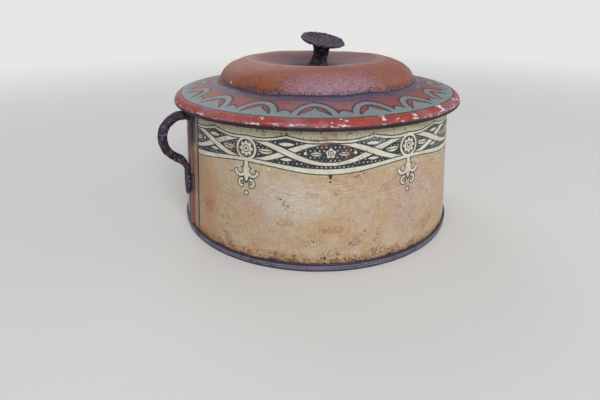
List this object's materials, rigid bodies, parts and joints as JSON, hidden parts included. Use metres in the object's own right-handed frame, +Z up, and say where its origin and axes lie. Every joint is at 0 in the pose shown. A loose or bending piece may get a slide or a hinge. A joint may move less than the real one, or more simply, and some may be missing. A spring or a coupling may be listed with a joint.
{
  "type": "bobbin box",
  "caption": "Round lidded tin with a tapered wall, an ear handle and a knob on its domed lid, for bobbins and sewing notions.",
  "frame": {"origin": "centre of the base on the resting plane", "axes": "+Z up along the pot's axis, -X towards the handle"},
  "size_m": [0.1626, 0.152, 0.0961],
  "materials": {
    "printed_tin": "cream printed tinplate, worn",
    "red_tin": "red-brown painted tinplate, worn",
    "bare_tin": "dull tarnished tinplate",
    "rusty_iron": "dark rusted iron",
    "wire": "plain iron wire",
    "solder": "dull soft solder"
  },
  "bodies": {
    "pot": {"body_wall": "printed_tin", "base_plate": "bare_tin", "rim_wire": "wire", "handle": "rusty_iron", "handle_solder": "solder"},
    "lid": {"lid_pan": "red_tin", "lid_rim_wire": "wire", "lid_collar": "bare_tin", "collar_solder": "solder", "knob": "rusty_iron", "knob_washer": "wire", "knob_rivet": "wire"}
  },
  "joints": [
    {"name": "lid_lift", "type": "slide", "parent": "pot", "child": "lid", "axis": [0, 0, 1], "range_m": [0, 0.1]}
  ]
}
